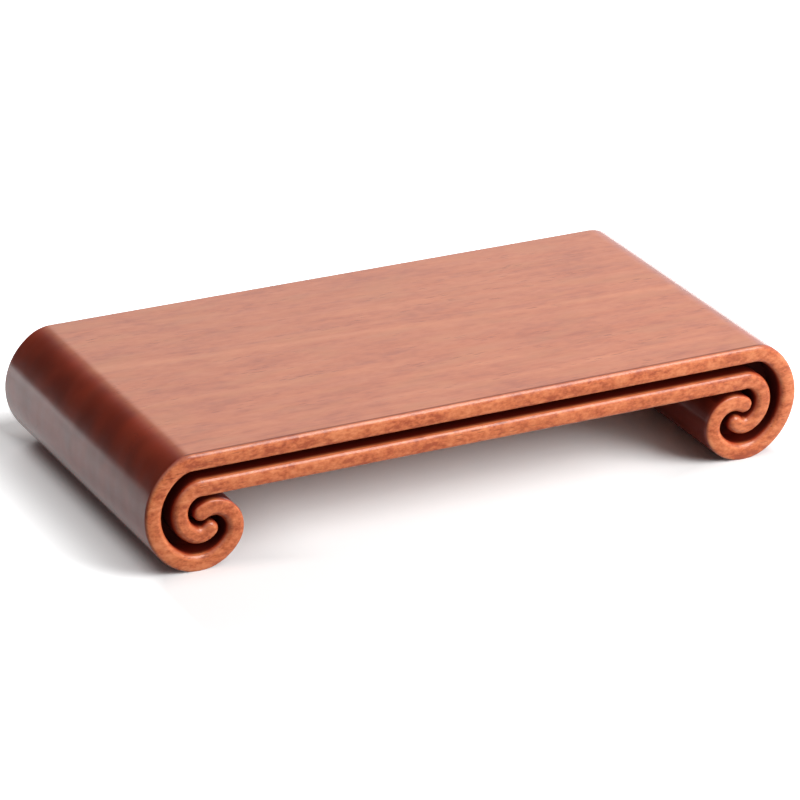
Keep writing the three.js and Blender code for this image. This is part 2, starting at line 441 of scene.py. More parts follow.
class Spot:
    """A point of a surface. The patterns of a finish are worked out from its place and its facing.

    x, y and z are its place in millimetres. across and ahead say how far it faces along the stand and
    to the front or the back, from 0 to 1, and upward says how far it faces up.
    """

    def __init__(self, sheet: NodeSheet) -> None:
        """Reads the point's place and facing."""
        self.sheet = sheet
        self.place = sheet.add("ShaderNodeVectorMath", {"operation": "SCALE"},
                               {0: sheet.place(), "Scale": 1000.0})
        self.x, self.y, self.z = sheet.parts(self.place)
        across, ahead, self.upward = sheet.parts(sheet.add("ShaderNodeTexCoord", {}, {}, "Normal"))
        self.across, self.ahead = across.size(), ahead.size()


@dataclass(frozen=True)
class Grain:
    """A pattern that is drawn out along the grain. Its scale along each axis is per millimetre."""

    scale: tuple[float, float, float]
    shift: tuple[float, float, float] = (0.0, 0.0, 0.0)
    detail: float = 2.0
    roughness: float = 0.5

    def _place(self, spot: Spot) -> Signal:
        """Where a point lies in the pattern."""
        return spot.sheet.add("ShaderNodeMapping", {},
                              {"Vector": spot.place, "Location": self.shift, "Scale": self.scale})

    def noise(self, spot: Spot) -> Signal:
        """Soft noise round 0."""
        return spot.sheet.add("ShaderNodeTexNoise", {}, {
            "Vector": self._place(spot), "Scale": 1.0, "Detail": self.detail,
            "Roughness": self.roughness}) - 0.5

    def cells(self, spot: Spot) -> Signal:
        """The distance to the nearest of many scattered points."""
        return spot.sheet.add("ShaderNodeTexVoronoi", {}, {"Vector": self._place(spot), "Scale": 1.0},
                              "Distance")


@dataclass(frozen=True)
class Streak:
    """A long pale streak of the wood's figure, in millimetres.

    The level is the figure's height at which it runs, and start and end are where it fades along X.
    """

    level: float
    width: float
    start: float
    end: float
    strength: float


@dataclass(frozen=True)
class Pores:
    """Short dark pores of one size.

    Each lies in its own cell, from its rim to its heart, and they show where the crowding of the
    pores goes from few to many.
    """

    cells: Grain
    rim: float
    heart: float
    few: float
    many: float

    def build(self, spot: Spot, crowding: Signal) -> Signal:
        """1 in a pore and 0 beside it."""
        return self.cells.cells(spot).step(self.rim, self.heart) * crowding.step(self.few, self.many)


@dataclass(frozen=True)
class RosewoodFinish:
    """Red hardwood with its grain along X, as one solid pattern that every piece is cut from.

    Places in it are in millimetres from the stand's origin. A pair of numbers says where something
    starts, and where it is complete. A share says how strongly a part of the pattern changes the
    wood's tone, which runs from 0 to 1.
    """

    name: str
    pale: tuple[float, float, float]
    middle: tuple[float, float, float]
    dark: tuple[float, float, float]
    yellow: tuple[float, float, float]
    end_dark: tuple[float, float, float]
    end_pale: tuple[float, float, float]
    pore: tuple[float, float, float]
    roughness: float
    lacquered: bool
    coat_roughness: float
    specular: float = 0.25
    coat_ior: float = 1.6

    # The growth layers: how they slant and fan out across the deck, how steeply they lie, and how
    # far they wander.
    slant: float = 0.07
    fan: float = 0.0012
    layer_level: float = 47.0
    layer_rise: float = 2.3
    wander: Grain = Grain((0.011, 0.03, 0.03))
    wander_reach: float = 7.0
    layer_scale: float = 0.13
    streaks: tuple[Streak, ...] = (
        Streak(16.5, 4.5, -150, 150, 0.24),
        Streak(-17.6, 3.6, -130, -8, 0.18),
        Streak(-29.6, 3.4, -20, 45, 0.20),
        Streak(-46.0, 3.2, -120, 125, 0.14),
        Streak(40.0, 4.0, -60, 140, 0.10),
    )
    fade: float = 12.0

    # What makes the tone, and the tones at which the wood is dark, middle and pale.
    fibre: Grain = Grain((0.05, 0.5, 0.5), detail=3.0, roughness=0.55)
    cloud: Grain = Grain((0.025, 0.08, 0.08), (0.0, 0.0, 21.0))
    mottle: Grain = Grain((0.16, 0.34, 0.34), (0.0, 0.0, 5.0))
    speckle: Grain = Grain((0.45, 0.45, 0.7), detail=3.0, roughness=0.6)
    layer_share: float = 0.14
    fibre_share: float = 0.10
    cloud_share: float = 0.6
    mottle_share: float = 0.5
    front_speckle_share: float = 1.6
    front_mottle_share: float = 0.8
    front_turn: tuple[float, float] = (0.3, 0.8)
    tones: tuple[float, float, float] = (0.15, 0.5, 0.95)

    # The yellower patches, fewer on the front and back.
    patch: Grain = Grain((0.035, 0.10, 0.10), (40.0, 0.0, 0.0), detail=1.0)
    patch_edge: tuple[float, float] = (-0.05, 0.25)
    patch_strength: float = 0.5
    patch_loss: float = 0.6

    # The redder ends, on what faces along the stand.
    blur: Grain = Grain((0.03, 0.06, 0.07), (0.0, 0.0, 60.0), detail=1.0)
    blur_edge: tuple[float, float] = (-0.2, 0.2)
    end_turn: tuple[float, float] = (0.0, 0.4)
    end_front: tuple[float, float] = (0.2, 0.9)
    end_strength: float = 0.92

    # The pores, and the dark line along the top's front and back edges.
    crowding: Grain = Grain((0.02, 0.12, 0.12), (0.0, 0.0, 7.0))
    pores: tuple[Pores, ...] = (
        Pores(Grain((0.10, 1.15, 1.15)), 0.26, 0.14, -0.04, 0.18),
        Pores(Grain((0.055, 0.55, 0.55), (3.0, 0.0, 0.0)), 0.20, 0.10, 0.04, 0.22),
    )
    pore_strength: float = 0.6
    crease: float = 70.5
    crease_width: tuple[float, float] = (0.7, 0.0)
    crease_level: tuple[float, float] = (50.6, 50.9)
    crease_strength: float = 1.4

    # The painted shade in the grooves, deepening from the front or back inwards.
    recess_shade: tuple[float, float, float] = (0.080, 0.0045, 0.0012)
    recess_shade_edge: tuple[float, float] = (72.0, 68.5)

    # The gloss: what roughens it, and how the lacquer thins on the front and back, though not on
    # what faces up.
    fibre_gloss: float = 0.10
    pore_gloss: float = 0.12
    recess_shade_gloss: float = 0.4
    film_turn: tuple[float, float] = (0.1, 0.5)
    film_loss: float = 0.8
    film_upward: tuple[float, float] = (0.25, 0.6)
    film_kept: float = 0.9

    # The relief. It is given in pores, which the bump makes bump_depth metres deep.
    swell: Grain = Grain((0.04, 0.10, 0.04), (0.0, 0.0, 80.0), detail=1.0, roughness=0.35)
    fibre_relief: float = 0.35
    swell_relief: float = 9.0
    bump_strength: float = 0.35
    bump_depth: float = 0.00012

    def _figure(self, spot: Spot) -> Signal:
        """The height of the wood's growth layers, in millimetres across the deck."""
        return (spot.y + spot.x * (self.slant + spot.y * self.fan)
                + (spot.z - self.layer_level) * self.layer_rise
                + self.wander.noise(spot) * self.wander_reach)

    def _streaked(self, figure: Signal, x: Signal) -> Signal:
        """Adds up the streaks of the figure.

        Args:
            figure: the height of the growth layers.
            x: the place along the grain.

        Returns:
            How much paler the wood is than its own tone.
        """
        shares = []
        for streak in self.streaks:
            band = (figure - streak.level).size().step(streak.width, 0.0)
            run = (x.step(streak.start - self.fade, streak.start + self.fade)
                   * x.step(streak.end + self.fade, streak.end - self.fade))
            shares.append(band * run * streak.strength)
        return reduce(add, shares)

    def _tone(self, spot: Spot, fibre: Signal, front: Signal) -> Signal:
        """Works out how pale the wood is.

        Args:
            spot: the point.
            fibre: the fibres' noise.
            front: 1 on the front and back.

        Returns:
            The tone, where 0.5 is the middle.
        """
        figure = self._figure(spot)
        layers = spot.sheet.add("ShaderNodeTexNoise", {"noise_dimensions": "1D"},
                                {"W": figure * self.layer_scale, "Detail": 1.0}) - 0.5
        mottle = self.mottle.noise(spot)
        speckles = self.speckle.noise(spot) * self.front_speckle_share + mottle * self.front_mottle_share
        return (0.5 + layers * self.layer_share + fibre * self.fibre_share
                + self.cloud.noise(spot) * self.cloud_share + mottle * self.mottle_share
                + front * speckles + self._streaked(figure, spot.x))

    def _wood(self, spot: Spot, fibre: Signal) -> Signal:
        """Colours the wood, without its pores and the painted shade of its grooves.

        Args:
            spot: the point.
            fibre: the fibres' noise.

        Returns:
            The colour.
        """
        sheet = spot.sheet
        front = spot.ahead.step(*self.front_turn)
        wood = sheet.add("ShaderNodeValToRGB", {"stops": tuple(zip(
            self.tones, (self.dark, self.middle, self.pale)))}, {"Fac": self._tone(spot, fibre, front)})
        patch = self.patch.noise(spot).step(*self.patch_edge) * (1.0 - front * self.patch_loss)
        wood = sheet.mix(patch * self.patch_strength, wood, self.yellow)
        ends = sheet.mix(self.blur.noise(spot).step(*self.blur_edge), self.end_dark, self.end_pale)
        at_end = spot.across.step(*self.end_turn) * (1.0 - spot.ahead.step(*self.end_front))
        return sheet.mix(at_end * self.end_strength, wood, ends)

    def material(self) -> bpy.types.Material:
        """Writes the finish as a material.

        Returns:
            The material.
        """
        made = bpy.data.materials.new(self.name)
        made.use_nodes = True
        sheet = NodeSheet(made.node_tree)
        spot = Spot(sheet)
        fibre = self.fibre.noise(spot)
        crowding = self.crowding.noise(spot)
        pores = reduce(Signal.larger, (kind.build(spot, crowding) for kind in self.pores))
        crease = ((spot.y.size() - self.crease).size().step(*self.crease_width)
                  * spot.z.step(*self.crease_level) * self.crease_strength)
        colour = sheet.mix(pores.larger(crease) * self.pore_strength, self._wood(spot, fibre), self.pore)
        # Painted shade: the recess attribute darkens the colour in the grooves and dulls their gloss.
        recess_shade = (sheet.add("ShaderNodeAttribute", {"attribute_name": RECESS}, {}, "Fac")
                 * spot.y.size().step(*self.recess_shade_edge))
        colour = sheet.mix(recess_shade, colour, self.recess_shade)
        gloss = (self.roughness + fibre * self.fibre_gloss + pores * self.pore_gloss
                 + recess_shade * self.recess_shade_gloss)
        film = (1.0 - spot.ahead.step(*self.film_turn) * self.film_loss).larger(
            spot.upward.step(*self.film_upward) * self.film_kept)
        polish = (1.0 - recess_shade) * film if self.lacquered else 0.0
        relief = fibre * self.fibre_relief - pores + self.swell.noise(spot) * self.swell_relief
        bump = sheet.add("ShaderNodeBump", {}, {
            "Strength": self.bump_strength, "Distance": self.bump_depth, "Height": relief})
        shader = sheet.add("ShaderNodeBsdfPrincipled", {}, {
            "Base Color": colour, "Roughness": gloss, "Specular IOR Level": self.specular,
            "Normal": bump, "Coat Weight": polish, "Coat Roughness": self.coat_roughness,
            "Coat IOR": self.coat_ior})
        sheet.add("ShaderNodeOutputMaterial", {}, {"Surface": shader})
        return made


@dataclass(frozen=True)
class BambooFinish:
    """Split bamboo for the pegs, with its fibres upright."""

    name: str
    pale: tuple[float, float, float]
    dark: tuple[float, float, float]
    roughness: float
    fibre: Grain = Grain((2.6, 2.6, 0.09), detail=3.0)
    fibre_edge: tuple[float, float] = (-0.15, 0.15)
    fibre_gloss: float = 0.2
    bump_strength: float = 0.4
    bump_depth: float = 0.0001

    def material(self) -> bpy.types.Material:
        """Writes the finish as a material.

        Returns:
            The material.
        """
        made = bpy.data.materials.new(self.name)
        made.use_nodes = True
        sheet = NodeSheet(made.node_tree)
        fibre = self.fibre.noise(Spot(sheet))
        colour = sheet.mix(fibre.step(*self.fibre_edge), self.dark, self.pale)
        bump = sheet.add("ShaderNodeBump", {}, {
            "Strength": self.bump_strength, "Distance": self.bump_depth, "Height": fibre})
        shader = sheet.add("ShaderNodeBsdfPrincipled", {}, {
            "Base Color": colour, "Roughness": self.roughness + fibre * self.fibre_gloss,
            "Normal": bump})
        sheet.add("ShaderNodeOutputMaterial", {}, {"Surface": shader})
        return made


@dataclass(frozen=True)
class Finish:
    """A finish that is ready for new pieces: its name, and its material."""

    slot: str
    material: bpy.types.Material


LACQUERED = RosewoodFinish(
    "lacquered_rosewood", pale=(0.68, 0.22, 0.09), middle=(0.55, 0.14, 0.05), dark=(0.36, 0.07, 0.025),
    yellow=(0.56, 0.18, 0.065), end_dark=(0.27, 0.024, 0.010), end_pale=(0.42, 0.045, 0.018),
    pore=(0.14, 0.022, 0.010), roughness=0.38, lacquered=True, coat_roughness=0.15)
# Unlacquered rosewood for the hidden rails and tongues, coloured very dark as painted shade, since they lie
# deep in the grooves.
BARE_IN_PAINTED_SHADE = RosewoodFinish(
    "bare_rosewood", pale=(0.20, 0.055, 0.028), middle=(0.14, 0.034, 0.017), dark=(0.08, 0.018, 0.010),
    yellow=(0.16, 0.050, 0.022), end_dark=(0.07, 0.014, 0.008), end_pale=(0.12, 0.024, 0.012),
    pore=(0.05, 0.010, 0.006), roughness=0.62, lacquered=False, coat_roughness=0.3)
BAMBOO = BambooFinish("bamboo", pale=(0.72, 0.52, 0.27), dark=(0.50, 0.31, 0.13), roughness=0.65)


@dataclass(frozen=True)
class Run:
    """A round run of a rolled sheet's middle line."""

    radius: float
    sweep: float

    @property
    def length(self) -> float:
        """The run's length."""
        return self.radius * self.sweep

    def flats(self, longest: float) -> int:
        """How many flats the run is made of, if none is longer than this."""
        return math.ceil(self.length / longest)


@dataclass(frozen=True)
class Place:
    """A place on a sheet's middle line: where it is, and how far the line has turned down."""

    x: float
    z: float
    turned: float

    def centre(self, radius: float) -> tuple[float, float, float]:
        """The middle of the circle that the line follows from here."""
        return (self.x + radius * math.sin(self.turned), 0.0, self.z - radius * math.cos(self.turned))

    def after(self, run: Run) -> "Place":
        """The place at the end of a run that starts here."""
        end = self.turned + run.sweep
        return Place(self.x - run.radius * (math.sin(end) - math.sin(self.turned)),
                     self.z - run.radius * (math.cos(self.turned) - math.cos(end)), end)

    def outside(self, distance: float) -> Vector:
        """The point at a distance from this place, out of the roll."""
        return Vector((self.x - distance * math.sin(self.turned), 0.0,
                       self.z + distance * math.cos(self.turned)))


@dataclass(frozen=True)
class StandForm:
    """The sizes that the boards and the scroll ends share.

    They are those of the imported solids, apart from the last three: the slope and the rise of the
    pillowed faces, and how far a piece is modelled past the joint before it is cut off there.
    """

    length: float = 0.300
    depth: float = 0.145
    height: float = 0.0512
    sheet: float = 0.0074
    groove: float = 0.0043
    groove_depth: float = 0.012
    mouth_gap: float = 0.0022
    foot_flat: float = 0.0004
    shoulder: Run = Run(0.0125, math.radians(35.4))
    side_sweep: float = math.radians(114.6)
    foot: Run = Run(0.0167, math.radians(87.8))
    curl_sweep: float = math.radians(86.1)
    hook: Run = Run(0.0096, math.radians(66.8))
    inner_shoulder: Run = Run(0.008, math.radians(37.4))
    inner_side_sweep: float = math.radians(118.1)
    inner_hook: Run = Run(0.0058, math.radians(72.4))
    inner_lead: float = 0.0005
    outer_arris: float = 0.0019
    inner_arris: float = 0.0010
    rail_width: float = 0.022
    tenon_length: float = 0.012
    tenon_shoulder: float = 0.004
    tenon_thickness: float = 0.003
    tongue_thickness: float = 0.0022
    tongue_reach: float = 0.005
    tongue_end_stop: float = 0.015
    peg_radius: float = 0.002
    peg_reach: float = 0.004
    peg_spacing: float = 0.150
    clearance: float = 0.0003
    crown_margin: float = 0.0024
    crown_rise: float = 0.0006
    joint_overlap: float = 0.006

    @staticmethod
    def _fall(start: float, end: float) -> float:
        """How far a line with a radius of 1 falls between two headings."""
        return math.cos(start) - math.cos(end)

    @staticmethod
    def _reach(start: float, end: float) -> float:
        """How far a line with a radius of 1 moves outwards between two headings."""
        return math.sin(end) - math.sin(start)

    @property
    def pitch(self) -> float:
        """From the middle of one sheet to the middle of the next."""
        return self.sheet + self.groove

    @property
    def upper_level(self) -> float:
        """The height of the upper board's middle."""
        return self.height - self.sheet / 2

    @property
    def lower_level(self) -> float:
        """The height of the lower board's middle."""
        return self.upper_level - self.pitch

    @property
    def rail_level(self) -> float:
        """The height of the rails' middle."""
        return (self.upper_level + self.lower_level) / 2

    @property
    def deck_underside(self) -> float:
        """The height of the lower board's underside."""
        return self.lower_level - self.sheet / 2

    @property
    def foot_level(self) -> float:
        """The height of the outer sheet's middle where it stands on the floor."""
        return self.sheet / 2 - self.foot_flat

    @property
    def roll_edge(self) -> float:
        """How far out the outer sheet's middle reaches."""
        return self.length / 2 - self.sheet / 2

    @property
    def core_depth(self) -> float:
        """The depth of the wood between the two sheets."""
        return self.depth - 2 * self.groove_depth

    @property
    def outer_runs(self) -> tuple[Run, ...]:
        """The outer sheet's shoulder, side, foot and curl."""
        side_start = self.shoulder.sweep
        side_end = side_start + self.side_sweep
        foot_end = side_end + self.foot.sweep
        curl_end = foot_end + self.curl_sweep
        curl_top = self.deck_underside - self.mouth_gap - self.sheet / 2
        side = (self.upper_level - self.foot_level - self.shoulder.radius * self._fall(0, side_start)
                - self.foot.radius * self._fall(side_end, math.pi)) / self._fall(side_start, side_end)
        curl = (self.foot_level - curl_top - self.foot.radius * self._fall(math.pi, foot_end)
                - self.hook.radius * self._fall(curl_end, 2 * math.pi)) / self._fall(foot_end, curl_end)
        return (self.shoulder, Run(side, self.side_sweep), self.foot, Run(curl, self.curl_sweep))

    @property
    def inner_runs(self) -> tuple[Run, ...]:
        """The inner sheet's shoulder, side and hook."""
        side_start = self.inner_shoulder.sweep
        side_end = side_start + self.inner_side_sweep
        side = (self.lower_level - self.foot_level - self.pitch
                - self.inner_shoulder.radius * self._fall(0, side_start)
                - self.inner_hook.radius * self._fall(side_end, math.pi)) / self._fall(side_start, side_end)
        return (self.inner_shoulder, Run(side, self.inner_side_sweep), self.inner_hook)

    def _roll_start(self, edge: float, shoulder: Run, side: Run) -> float:
        """Where a sheet starts to roll, from how far out it reaches and its first two runs."""
        return (edge - shoulder.radius * self._reach(0, shoulder.sweep)
                - side.radius * self._reach(shoulder.sweep, math.pi / 2))

    @property
    def joint(self) -> float:
        """How far from the middle the boards meet the scroll ends."""
        inner_start = self._roll_start(self.roll_edge - self.pitch, *self.inner_runs[:2])
        return inner_start - self.inner_lead

    @property
    def outer_lead(self) -> float:
        """The outer sheet's straight run from the joint to its roll."""
        return self._roll_start(self.roll_edge, *self.outer_runs[:2]) - self.joint

    @property
    def rail_places(self) -> tuple[float, float, float]:
        """Where the rails lie between front and back."""
        side = (self.core_depth - self.rail_width) / 2
        return (-side, 0.0, side)

    def tongue_cutter(self, name: str, x: float, level: float) -> bpy.types.Object:
        """The groove for one loose tongue, as a block to cut with."""
        return Bench.block(name, (2 * (self.tongue_reach + self.clearance),
                                  self.depth - 2 * self.tongue_end_stop + 2 * self.clearance,
                                  self.tongue_thickness + 2 * self.clearance), (x, 0.0, level))


@dataclass
class RolledSheet:
    """A sheet that runs in from the deck, rolls down and inwards, and ends in a half-round tip.

    It starts a little inside the joint, and is cut off there once it is part of a scroll end.
    """

    form: StandForm
    name: str
    level: float
    lead: float
    runs: tuple[Run, ...]
    flat: float = 0.0006
    tip_flats: int = 18
    outside_arris: float = 0.0010
    groove_arris: float = 0.0022
    full_roll: float = 0.3

    @property
    def start(self) -> Place:
        """Where the sheet starts to roll."""
        return Place(-self.form.joint - self.lead, self.level, 0.0)

    @property
    def open_end(self) -> float:
        """Where the sheet's flat end is, inside the joint."""
        return -self.form.joint + self.form.joint_overlap

    def _round_tip(self, piece: bpy.types.Object, tip: Place) -> None:
        """Takes away the flat end of the roll and spins its outer edge into a half-round."""
        bpy.ops.mesh.delete(type="ONLY_FACE")
        corner = tip.outside(self.form.sheet / 2)

        def is_outer(edge: bmesh.types.BMEdge) -> bool:
            """Whether an edge is the outer one of the flat end."""
            return all((Vector((v.co.x, 0.0, v.co.z)) - corner).length < Bench.TOUCHING
                       for v in edge.verts)

        Bench.pick(piece, Part.EDGES, is_outer)
        bpy.ops.mesh.spin(steps=self.tip_flats, angle=math.pi, center=tip.centre(0.0), axis=FRONT_TO_BACK)

    def _stations(self) -> list[tuple[Place, float]]:
        """Closely set places along the roll's middle line, each with its share of the roll."""
        stations = []
        total = sum(run.length for run in self.runs)
        place, along = self.start, 0.0
        for run in self.runs:
            count = run.flats(self.flat)
            for i in range(count + 1):
                part = Run(run.radius, run.sweep * i / count)
                stations.append((place.after(part), (along + part.length) / total))
            place, along = place.after(run), along + run.length
        return stations

    def _soften(self, piece: bpy.types.Object) -> None:
        """Rounds the front and back arrises, with radii that change from the deck to the roll."""
        form, stations = self.form, self._stations()
        half = form.sheet / 2

        def radius_at(middle: Vector, direction: Vector) -> float:
            """Gives an edge of the sheet its radius.

            Args:
                middle: the edge's middle.
                direction: its direction.

            Returns:
                The radius, or zero where the edge stays sharp.
            """
            on_deck = abs(middle.z - self.level) < form.sheet and middle.x > self.start.x
            if abs(direction.y) > MOSTLY or (on_deck and abs(direction.z) > MOSTLY):
                return 0.0
            if on_deck:
                offset, share = middle.z - self.level, 0.0
            else:
                place, share = min(stations, key=lambda s: math.hypot(s[0].x - middle.x, s[0].z - middle.z))
                offset = (middle - place.outside(0.0)).dot(place.outside(1.0) - place.outside(0.0))
            rolled = min(1.0, share / self.full_roll)
            outer = form.outer_arris + (self.outside_arris - form.outer_arris) * rolled
            inner = form.inner_arris + (self.groove_arris - form.inner_arris) * rolled
            return inner + (outer - inner) * max(0.0, min(1.0, 0.5 + 0.5 * offset / half))

        Bench.round_arrises(piece, self.groove_arris, radius_at)

    def build(self) -> bpy.types.Object:
        """Models the sheet.

        Returns:
            The sheet, closed at both ends.
        """
        form = self.form
        piece = Bench.panel(self.name, (form.sheet, form.depth - 2 * form.crown_rise),
                            (self.open_end, 0.0, self.level), tilt=-math.pi / 2)
        Bench.shape(piece)
        bpy.ops.mesh.extrude_region_move(
            TRANSFORM_OT_translate={"value": (-form.joint_overlap - self.lead, 0.0, 0.0)})
        self._round_tip(piece, Bench.roll(self.start, self.runs, self.flat))
        Bench.seal()
        Bench.crown(piece, form.crown_margin, form.crown_rise)
        self._soften(piece)
        return piece


@dataclass
class ScrollEnd:
    """A whole end: two rolled sheets wound into one another on a core that is set back."""

    form: StandForm
    end: End
    finish: Finish
    core_flat: float = 0.001

    def _core(self) -> bpy.types.Object:
        """Models the core: a strip down the outer sheet's middle line, closed below the deck."""
        form = self.form
        start = Place(-form.joint - form.outer_lead, form.upper_level, 0.0)
        width = form.outer_lead + form.joint_overlap
        piece = Bench.panel("core", (width, form.core_depth), (start.x + width / 2, 0.0, start.z))
        Bench.shape(piece)
        Bench.pick(piece, Part.EDGES, lambda edge: all(v.co.x < start.x + width / 2 for v in edge.verts))
        end = Bench.roll(start, form.outer_runs, self.core_flat)
        for move in ((0.0, 0.0, form.deck_underside - end.z),
                     (start.x + width - end.x, 0.0, 0.0),
                     (0.0, 0.0, form.upper_level - form.deck_underside)):
            bpy.ops.mesh.extrude_edges_move(TRANSFORM_OT_translate={"value": move})
        Bench.seal()
        return piece

    def _overlap(self) -> bpy.types.Object:
        """The deck's overlap inside the joint, as a block to cut with."""
        form = self.form
        below = form.deck_underside - form.mouth_gap / 2
        height = form.height + form.mouth_gap - below
        return Bench.block("overlap", (2 * form.joint_overlap, 2 * form.depth, height),
                           (-form.joint + form.joint_overlap, 0.0, below + height / 2))

    def _cutters(self) -> bpy.types.Object:
        """The mortises and tongue grooves, as blocks to cut with."""
        form = self.form
        length = 2 * (form.tenon_length + form.clearance)
        width = form.rail_width - 2 * form.tenon_shoulder + 2 * form.clearance
        height = form.tenon_thickness + 2 * form.clearance
        blocks = [Bench.block("mortise", (length, width, height), (-form.joint, y, form.rail_level))
                  for y in form.rail_places]
        blocks += [form.tongue_cutter("tongue_groove", -form.joint, level)
                   for level in (form.upper_level, form.lower_level)]
        return Bench.join(blocks)

    def build(self) -> bpy.types.Object:
        """Models, dresses and places the end.

        Returns:
            The finished piece.
        """
        form = self.form
        name = f"{self.end.value}_scroll_end"
        piece = RolledSheet(form, f"fine_{name}", form.upper_level, form.outer_lead,
                            (*form.outer_runs, form.hook)).build()
        inner = RolledSheet(form, "inner_sheet", form.lower_level, form.inner_lead, form.inner_runs,
                            outside_arris=RolledSheet.groove_arris).build()
        Bench.combine(piece, inner, "UNION")
        Bench.combine(piece, self._core(), "UNION")
        Bench.trim(piece, (0.0, 0.0, 0.0), (0.0, 0.0, -1.0))
        Bench.combine(piece, self._overlap(), "DIFFERENCE")
        Bench.combine(piece, self._cutters(), "DIFFERENCE")
        if self.end is End.RIGHT:
            Bench.take(piece)
            piece.rotation_euler.z = math.pi
            bpy.ops.object.transform_apply(location=True, rotation=True, scale=True)
        Bench.polish(piece)
        dress(piece, self.finish, name)
        return piece


@dataclass
class DeckBoard:
    """One of the two long boards, with grooves for its tongues and blind holes for the pegs."""

    form: StandForm
    name: str
    level: float
    finish: Finish

    def _soften(self, piece: bpy.types.Object) -> None:
        """Rounds the board's long arrises, more above than below."""
        form = self.form

        def radius_at(middle: Vector, direction: Vector) -> float:
            """Gives an edge of the board its radius.

            Args:
                middle: the edge's middle.
                direction: its direction.

            Returns:
                The radius, or zero where the edge stays sharp.
            """
            if abs(direction.x) < MOSTLY:
                return 0.0
            return form.outer_arris if middle.z > self.level else form.inner_arris

        Bench.round_arrises(piece, form.outer_arris, radius_at)

    def build(self) -> bpy.types.Object:
        """Models and dresses the board.

        Returns:
            The finished piece.
        """
        form = self.form
        piece = Bench.block(f"fine_{self.name}", (2 * (form.joint + form.joint_overlap),
                                                  form.depth - 2 * form.crown_rise, form.sheet),
                            (0.0, 0.0, self.level))
        Bench.crown(piece, form.crown_margin, form.crown_rise)
        self._soften(piece)
        for side in (-1.0, 1.0):
            Bench.trim(piece, (side * form.joint, 0.0, 0.0), (side, 0.0, 0.0))
        tools = [form.tongue_cutter("tongue_groove", x, self.level) for x in (-form.joint, form.joint)]
        tools += [Bench.pin("peg_hole", form.peg_radius + form.clearance, form.groove + 2 * form.peg_reach,
                            (x, y, form.rail_level))
                  for x in (-form.peg_spacing / 2, form.peg_spacing / 2) for y in form.rail_places]
        Bench.combine(piece, Bench.join(tools), "DIFFERENCE")
        Bench.polish(piece)
        dress(piece, self.finish, self.name)
        return piece


def dress(piece: bpy.types.Object, finish: Finish, node: str) -> None:
    """Gives a new piece its finish and puts it in its solid's place.

    Args:
        piece: the new piece.
        finish: its finish.
        node: the solid that it stands for.
    """
    piece.data.materials.clear()
    piece.data.materials.append(finish.material)
    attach(piece, BODY)
    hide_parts(node)


@dataclass
class RecessShade:
    """Painted shade in the grooves, with less gloss, where other faces of the stand close a face in.

    Each face keeps its share in an attribute: 1 where another face of the stand lies close before it,
    and 0 where it looks out freely. The inward sides of the feet, under the deck, get painted shade too.
    """

    form: StandForm
    close: float = 0.005
    free: float = 0.009
    lift: float = 0.0002
    under_deck: float = 0.75
    inward_gain: float = 2.0

    def _share(self, trees: list[BVHTree], face: bpy.types.MeshPolygon) -> float:
        """Works out one face's share.

        Args:
            trees: the search trees of all the pieces.
            face: the face.

        Returns:
            Its share of the painted shade.
        """
        form = self.form
        start, ahead = face.center.copy(), face.normal.copy()
        if abs(ahead.y) > MOSTLY:
            return float(abs(start.y) < form.depth / 2 - form.groove_depth / 2)
        if abs(start.y) < form.core_depth / 2:
            start.y = -(form.core_depth + form.groove_depth) / 2
        hits = [tree.ray_cast(start + ahead * self.lift, ahead, self.free)[3] for tree in trees]
        nearest = min([self.free] + [distance for distance in hits if distance is not None])
        share = 1.0 - max(0.0, (nearest - self.close) / (self.free - self.close))
        inward = -ahead.x * math.copysign(self.inward_gain, start.x)
        if start.z < form.deck_underside:
            share = max(share, self.under_deck * min(1.0, inward))
        return share

    def build(self, pieces: list[bpy.types.Object]) -> None:
        """Writes the attribute on every piece.

        Args:
            pieces: the finished pieces.
        """
        graph = bpy.context.evaluated_depsgraph_get()
        trees = [BVHTree.FromObject(piece, graph) for piece in pieces]
        for piece in pieces:
            layer = piece.data.attributes.new(RECESS, "FLOAT", "FACE")
            layer.data.foreach_set("value", [self._share(trees, face) for face in piece.data.polygons])


@dataclass
class HiddenJoinery:
    """The rails, tongues and pegs, which keep their solids: the rails and tongues get the dark bare wood,
    painted shade for the grooves, and the pegs get bamboo.
    """

    wood: bpy.types.Material
    bamboo: bpy.types.Material

    def build(self) -> list[bpy.types.Object]:
        """Dresses the solids that are still shown.

        Returns:
            The dressed solids.
        """
        dressed = []
        for name, node in sorted(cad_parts.items()):
            if name.endswith(("rail", "tongue", "peg")):
                node.material_slots[0].material = self.bamboo if name.endswith("peg") else self.wood
                dressed.append(node)
        return dressed


@dataclass(frozen=True)
class SoftLamp:
    """A square soft light that looks at the stand. It shows in gloss unless in_gloss is False."""

    name: str
    direction: tuple[float, float, float]
    distance: float
    width: float
    radiance: float
    in_gloss: bool = True

    def build(self) -> None:
        """Sets the light up, with the power that gives a square lamp its radiance."""
        data = bpy.data.lights.new(self.name, "AREA")
        data.size = self.width
        data.energy = self.radiance * math.pi * self.width ** 2
        lamp = bpy.data.objects.new(self.name, data)
        bpy.context.scene.collection.objects.link(lamp)
        towards = Vector(self.direction).normalized()
        lamp.location = towards * self.distance
        lamp.rotation_euler = (-towards).to_track_quat("-Z", "Y").to_euler()
        lamp.visible_camera = False
        lamp.visible_glossy = self.in_gloss


